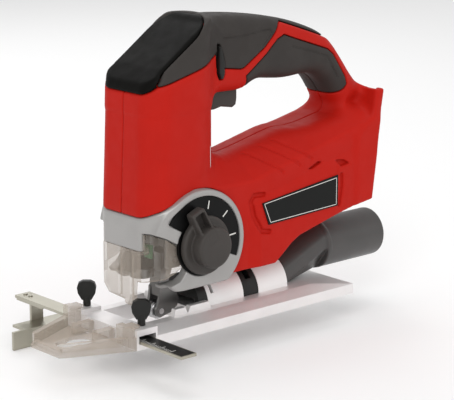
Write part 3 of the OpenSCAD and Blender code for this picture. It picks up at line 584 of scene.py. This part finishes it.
def make_cover():
    """The cast cover with its front band, its bezel and the recess for the dial."""
    g = Grid((-83, -38, 29), (-2, 36, 100), 0.62)
    ay = np.abs(g.y)
    outer = column_field(g)
    disc = np.sqrt((g.x - KNOB_X) ** 2 + (g.z - KNOB_Z) ** 2)
    proud = smax(disc - BEZEL_R, ay - 36, 2.2)
    proud = smax(proud, g.y + 20, 1)
    taper = 0.92 * (ay - 32) - 0.38 * (g.x + 70)
    proud = smax(proud, taper, 1.5)
    far = smax(smax(smax(disc - BEZEL_R, g.y - 34, 1.5), 20 - g.y, 1), taper, 1.5)
    shape = smin(smax(outer - 0.3, cover_zone(g) + SEAM, 1.6), proud, 2.5)
    shape = smin(shape, far, 1.5)
    shape = smax(shape, 32 - g.z, 1)
    shape = smax(shape, -(outer + WALL), 0.8)
    window = outline(WINDOW, g.x, g.z)
    keep = box_field(g, (-90, -19.6, 59), (-70, 19.6, 76), 0.8)
    shape = smax(shape, -smax(window, -keep, 0.8), 0.8)
    shape = smax(shape, -box_field(g, (-76, -16, 20), (-30, 16, 50)), 0.8)
    shape = smax(shape, -box_field(g, (-30, -12.4, 20), (-1, 12.4, 50)), 0.8)
    angle = np.degrees(np.arctan2(g.z - KNOB_Z, g.x - KNOB_X))
    # The dial shows over 85.7 degrees either side of its middle
    radial = np.maximum(disc, 1)
    sector = np.abs(angle - 62) * math.pi / 180 * radial - 85.7 * math.pi / 180 * radial
    recess = smax(smax(disc - DIAL_R - 0.2, sector, 0.8), g.y + 33.2, 0.6)
    well = smax(disc - KNOB_R - 1.2, g.y + 33.2, 0.6)
    shape = smax(shape, -np.minimum(recess, well), 0.8)
    shape = smax(shape, -smax(disc - 4.6, g.y + 20, 0.4), 0.4)
    shape = smax(shape, -outline(SOLE_SWEEP, ay, g.z), 0.6)
    # The bezel's bright sloping rim
    shape = smax(shape, 0.55 * (disc - BEZEL_R) - 0.835 * (g.y + 36) - 1.7, 0.6)
    build("gear_cover_casting", g, shape, "root", SILVER, ["gear_cover"])


def make_knob():
    """Orbital knob: a round rim, a raised face, and a hollow frame as its pointer."""
    g = Grid((KNOB_X - 29, -50.3, KNOB_Z - 29), (KNOB_X + 29, -13, KNOB_Z + 29), 0.55)
    disc = np.sqrt((g.x - KNOB_X) ** 2 + (g.z - KNOB_Z) ** 2)
    rim = smax(disc - KNOB_R, smax(-40.4 - g.y, g.y + 35.5, 0.6), 2.0)
    face = smax(disc - FACE_R, smax(-49.5 - g.y, g.y + 38, 0.6), 2.4)
    stem = smax(disc - 4.5, smax(-37 - g.y, g.y + 14, 0.6), 0.6)
    turn = math.radians(113)
    along = (g.x - KNOB_X) * math.cos(turn) + (g.z - KNOB_Z) * math.sin(turn)
    across = -(g.x - KNOB_X) * math.sin(turn) + (g.z - KNOB_Z) * math.cos(turn)
    slope = g.y + 47.5 - np.clip(along - 8, 0, None) * 0.20
    bar_plan = smax(np.abs(across) - 5.6, smax(along - 27, -along + 2, 1), 1.6)
    frame_bar = smax(bar_plan, smax(-slope, g.y + 36.2, 0.8), 1.6)
    pocket = smax(smax(np.abs(across) - 3.9, smax(along - 25, 5 - along, 1), 1.2), g.y + 38.8, 0.6)
    shape = smin(smin(rim, stem, 0.5), smin(face, frame_bar, 1.0), 1.0)
    shape = smax(shape, -smax(pocket, -face - 0.1, 0.6), 0.7)
    build("orbital_knob_body", g, shape, "orbital_knob", KNOB, ["orbital_knob"])


def make_spout():
    """The dust spout: a flared neck from the half drum, and a round spigot for the hose."""
    g = Grid((37, -21, 8), (151, 21, 49), 0.7)
    t = np.clip((g.x - 50.3) / 43.5, 0, 1)
    middle = TILT_Z + 0.4 + (29.8 - TILT_Z - 0.4) * t
    radius = 19 + (17.5 - 19) * t
    round_part = (np.sqrt(g.y**2 + (g.z - middle) ** 2) - radius) * 0.93
    keel = (TILT_Z + 0.4) + t * 1.2 - g.z
    ratio = radius / 18
    side_face = 0.995 * np.abs(g.y) + 0.10 * (g.z - middle) - 16.3 * ratio
    under_face = 0.80 * np.abs(g.y) - 0.60 * (g.z - middle) - 12.6 * ratio
    facets = smax(side_face, under_face, 0.6)
    facets = facets * np.clip((100 - g.x) / 6, 0, 1) - 3 * np.clip((g.x - 94) / 6, 0, 1)
    round_part = smax(round_part, facets, 0.6)
    neck = smax(smax(round_part, keel, 1.2), smax(50.3 - g.x, g.x - 95, 0.5), 0.8)
    tube = smax(np.sqrt(g.y**2 + (g.z - 29.8) ** 2) - 17.45, smax(93 - g.x, g.x - 150, 1.2), 1.2)
    plug = smax(np.sqrt(g.y**2 + (g.z - TILT_Z) ** 2) - 14.7, smax(38 - g.x, g.x - 52, 0.5), 0.6)
    plug = smax(plug, TILT_Z + 0.4 - g.z, 0.5)
    shape = np.minimum(smin(neck, tube, 2), plug)
    hollow = smax(smax(round_part + 2.2, keel + 2.2, 1), g.x - 98, 0.5)
    bore = smax(np.sqrt(g.y**2 + (g.z - 29.8) ** 2) - 15.2, 96.5 - g.x, 0.5)
    inlet = smax(np.sqrt(g.y**2 + (g.z - TILT_Z) ** 2) - 12.6, smax(TILT_Z + 2.4 - g.z, g.x - 54, 0.5), 0.5)
    shape = smax(shape, -np.minimum(np.minimum(hollow, bore), inlet), 0.6)
    build("dust_spout_body", g, shape, "dust_spout", SPOUT, ["dust_spout"])


def make_trigger():
    g = Grid((-15, -10, 138), (16, 10, 163), 0.5)
    points = [(-13.2, 141.5), (-13.2, 157), (13.8, 157), (13.8, 147), (13, 142.6), (10, 140.9), (6, 141.6),
              (0, 142.6), (-6, 141.4)]
    block = smax(outline(points, g.x, g.z), np.abs(g.y) - 8, 2.2)
    pusher = box_field(g, (-6, -4, 155), (8, 4, 161))
    build("trigger_key", g, smin(block, pusher, 0.8), "trigger", KNOB, ["trigger"])


def make_lock():
    g = Grid((-15, -22, 162), (-6, 22, 189), 0.45)
    points = [(-13.3, 186), (-11.4, 185.8), (-8.3, 175.5), (-8.3, 167.5), (-9.6, 164.2), (-11.4, 164.2),
              (-13.3, 168.5)]
    key = smax(outline(points, g.x, g.z), np.abs(g.y) - 21, 1.6)
    build("lock_slider", g, key, "lock_button", BLACK, ["lock_button"])


make_body()
make_cover()
make_knob()
make_spout()
make_trigger()
make_lock()


# ---------- pieces built from outlines ----------
def prism(name, points, place, low, high, body, material, replaced=(), bevel=0.3):
    """An outline drawn out between two levels, with its edges rounded. place maps (u, v, w) to x, y, z."""
    bm = bmesh.new()
    bottom = [bm.verts.new(Vector(place(u, v, low)) * MM) for u, v in points]
    top = [bm.verts.new(Vector(place(u, v, high)) * MM) for u, v in points]
    bm.faces.new(bottom)
    bm.faces.new(top[::-1])
    for i, a in enumerate(bottom):
        j = (i + 1) % len(bottom)
        bm.faces.new((a, top[i], top[j], bottom[j]))
    bmesh.ops.recalc_face_normals(bm, faces=bm.faces)
    mesh = bpy.data.meshes.new(name)
    bm.to_mesh(mesh)
    bm.free()
    obj = bpy.data.objects.new(name, mesh)
    bpy.context.scene.collection.objects.link(obj)
    mesh.materials.append(material)
    if bevel:
        edge = obj.modifiers.new("edge", "BEVEL")
        edge.width = bevel * MM
        edge.segments = 3
        edge.limit_method = "ANGLE"
    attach(obj, body)
    if replaced:
        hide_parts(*replaced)
    return obj


def on_side(u, v, w):
    return (u, w, v)


def on_top(u, v, w):
    return (u, v, w)


def make_plates():
    """The blank name plates with a fine line round each, standing 0.8 mm off the housing."""
    corners = [(12.5, 79), (84, 88), (84, 66), (18.5, 63.2)]
    middle = (sum(p[0] for p in corners) / 4, sum(p[1] for p in corners) / 4)
    inner = [(c[0] + (middle[0] - c[0]) * 0.05, c[1] + (middle[1] - c[1]) * 0.14) for c in corners]
    for side, sign in (("left", -1), ("right", 1)):
        prism(f"plate_{side}", corners, on_side, sign * BODY_HALF, sign * (BODY_HALF + 0.8), "root", LABEL,
              [f"label_{side}"], 0.25)
        for i, (a, b) in enumerate(zip(inner, inner[1:] + inner[:1])):
            length = math.dist(a, b)
            nu, nv = -(b[1] - a[1]) / length * 0.22, (b[0] - a[0]) / length * 0.22
            strip = [(a[0] - nu, a[1] - nv), (b[0] - nu, b[1] - nv), (b[0] + nu, b[1] + nv),
                     (a[0] + nu, a[1] + nv)]
            prism(f"plate_line_{side}_{i}", strip, on_side, sign * (BODY_HALF + 0.79),
                  sign * (BODY_HALF + 0.84), "root", PRINT, (), 0)


def make_dial_marks():
    """The three pale marks on the dial, one for each orbital setting."""
    for i, turn in enumerate((78.5, 41.5, 5)):
        a = math.radians(turn)
        out = (math.cos(a), math.sin(a))
        side = (-out[1] * 0.45, out[0] * 0.45)
        corners = ((23.5, -1), (29, -1), (29, 1), (23.5, 1))
        points = [(KNOB_X + out[0] * r + side[0] * k, KNOB_Z + out[1] * r + side[1] * k) for r, k in corners]
        prism(f"dial_mark_{i}", points, on_side, -35.18, -35.26, "root", PRINT, (), 0)


def make_bar_scale():
    """The dark printed scale on the near end of the guide bar, with a row of pale marks."""
    low, high = node_box("guide_bar")
    top = high[2]
    left, right = low[0] + 0.8, high[0] - 0.8
    ink = [(left, low[1] + 1), (right, low[1] + 1), (right, -18), (left, -18)]
    prism("bar_scale", ink, on_top, top - 0.02, top + 0.05, "guide", BLACK, (), 0)
    for i in range(28):
        y = low[1] + 12 + 2 * i
        reach = 5 if i % 5 == 0 else 2.6
        mark = [(left, y), (left + reach, y), (left + reach, y + 0.5), (left, y + 0.5)]
        prism(f"bar_mark_{i}", mark, on_top, top + 0.04, top + 0.09, "guide", PRINT, (), 0)


make_plates()
make_dial_marks()
make_bar_scale()


# ---------- the CAD nodes that stay, with their own finish and eased edges ----------
NODE_SLOTS = {s["node"]: s["material_slot"] for s in frame["record"]["subparts"]}
EASED = {"sole_plate": 0.5, "guide_bar": 0.15, "guide_fence": 0.2, "chip_guard": 0.35, "sight_guide": 0.4,
         "bevel_drum": 0.3, "drum_liner": 0.3, "roller_arm": 0.5, "guide_roller": 0.4, "clamp_lever": 0.5,
         "blade_clamp": 0.4, "wing_screw_near": 0.9, "wing_screw_far": 0.9, "dial_plate": 0.15}
for node_name, node in frame["nodes"].items():
    if node.hide_render:
        continue
    node.data.materials.clear()
    node.data.materials.append(FINISH[NODE_SLOTS[node_name]])
    weld = node.modifiers.new("weld", "WELD")
    weld.merge_threshold = 1e-6
    if node_name in EASED:
        ease = node.modifiers.new("ease", "BEVEL")
        ease.width = EASED[node_name] * MM
        ease.segments = 3
        ease.limit_method = "ANGLE"
        ease.angle_limit = math.radians(35)


# ---------- stage, light and camera ----------
def make_stage():
    size = 4.0
    mesh = bpy.data.meshes.new("floor")
    z = FLOOR_Z * MM - 0.0002
    corners = [(-size, -size, z), (size, -size, z), (size, size, z), (-size, size, z)]
    mesh.from_pydata(corners, [], [(0, 1, 2, 3)])
    floor = bpy.data.objects.new("floor", mesh)
    bpy.context.scene.collection.objects.link(floor)
    mesh.materials.append(surface("floor_paint", (0.98, 0.98, 0.98), 0.9, vary=0.0, specular=0.1))


def softbox(name, place, size, power):
    data = bpy.data.lights.new(name, "AREA")
    data.shape = "RECTANGLE"
    data.size, data.size_y = size
    data.energy = power
    lamp = bpy.data.objects.new(name, data)
    lamp.location = place
    lamp.rotation_euler = (Vector((0, 0, 0.09)) - Vector(place)).to_track_quat("-Z", "Y").to_euler()
    bpy.context.scene.collection.objects.link(lamp)


def make_world(strength):
    world = bpy.data.worlds.new("world")
    world.use_nodes = True
    background = world.node_tree.nodes["Background"]
    background.inputs["Color"].default_value = (1, 1, 1, 1)
    background.inputs["Strength"].default_value = strength
    bpy.context.scene.world = world


def make_camera():
    """A long lens from the front left, a little above the tool."""
    azimuth, elevation, distance = math.radians(-41.52), math.radians(13.76), 1.232
    back = Vector((math.sin(azimuth) * math.cos(elevation), -math.cos(azimuth) * math.cos(elevation),
                   math.sin(elevation)))
    target = Vector((0.0114, 0, 0.0753))
    data = bpy.data.cameras.new("camera")
    data.lens, data.sensor_width = 142.7, 36
    camera = bpy.data.objects.new("camera", data)
    camera.location = target + back * distance
    camera.rotation_euler = back.to_track_quat("Z", "Y").to_euler()
    bpy.context.scene.collection.objects.link(camera)
    bpy.context.scene.camera = camera


make_stage()
softbox("key", (-1.1, -1.0, 1.1), (0.7, 0.7), 7.5)
softbox("fill", (0.9, -1.5, 0.7), (1.2, 0.8), 2.2)
softbox("top", (0.1, 0.1, 1.6), (1.0, 1.0), 4.5)
softbox("rim", (0.5, 1.3, 0.9), (1.0, 0.6), 3)
make_world(0.72)
bpy.context.scene.view_settings.view_transform = "Standard"
make_camera()
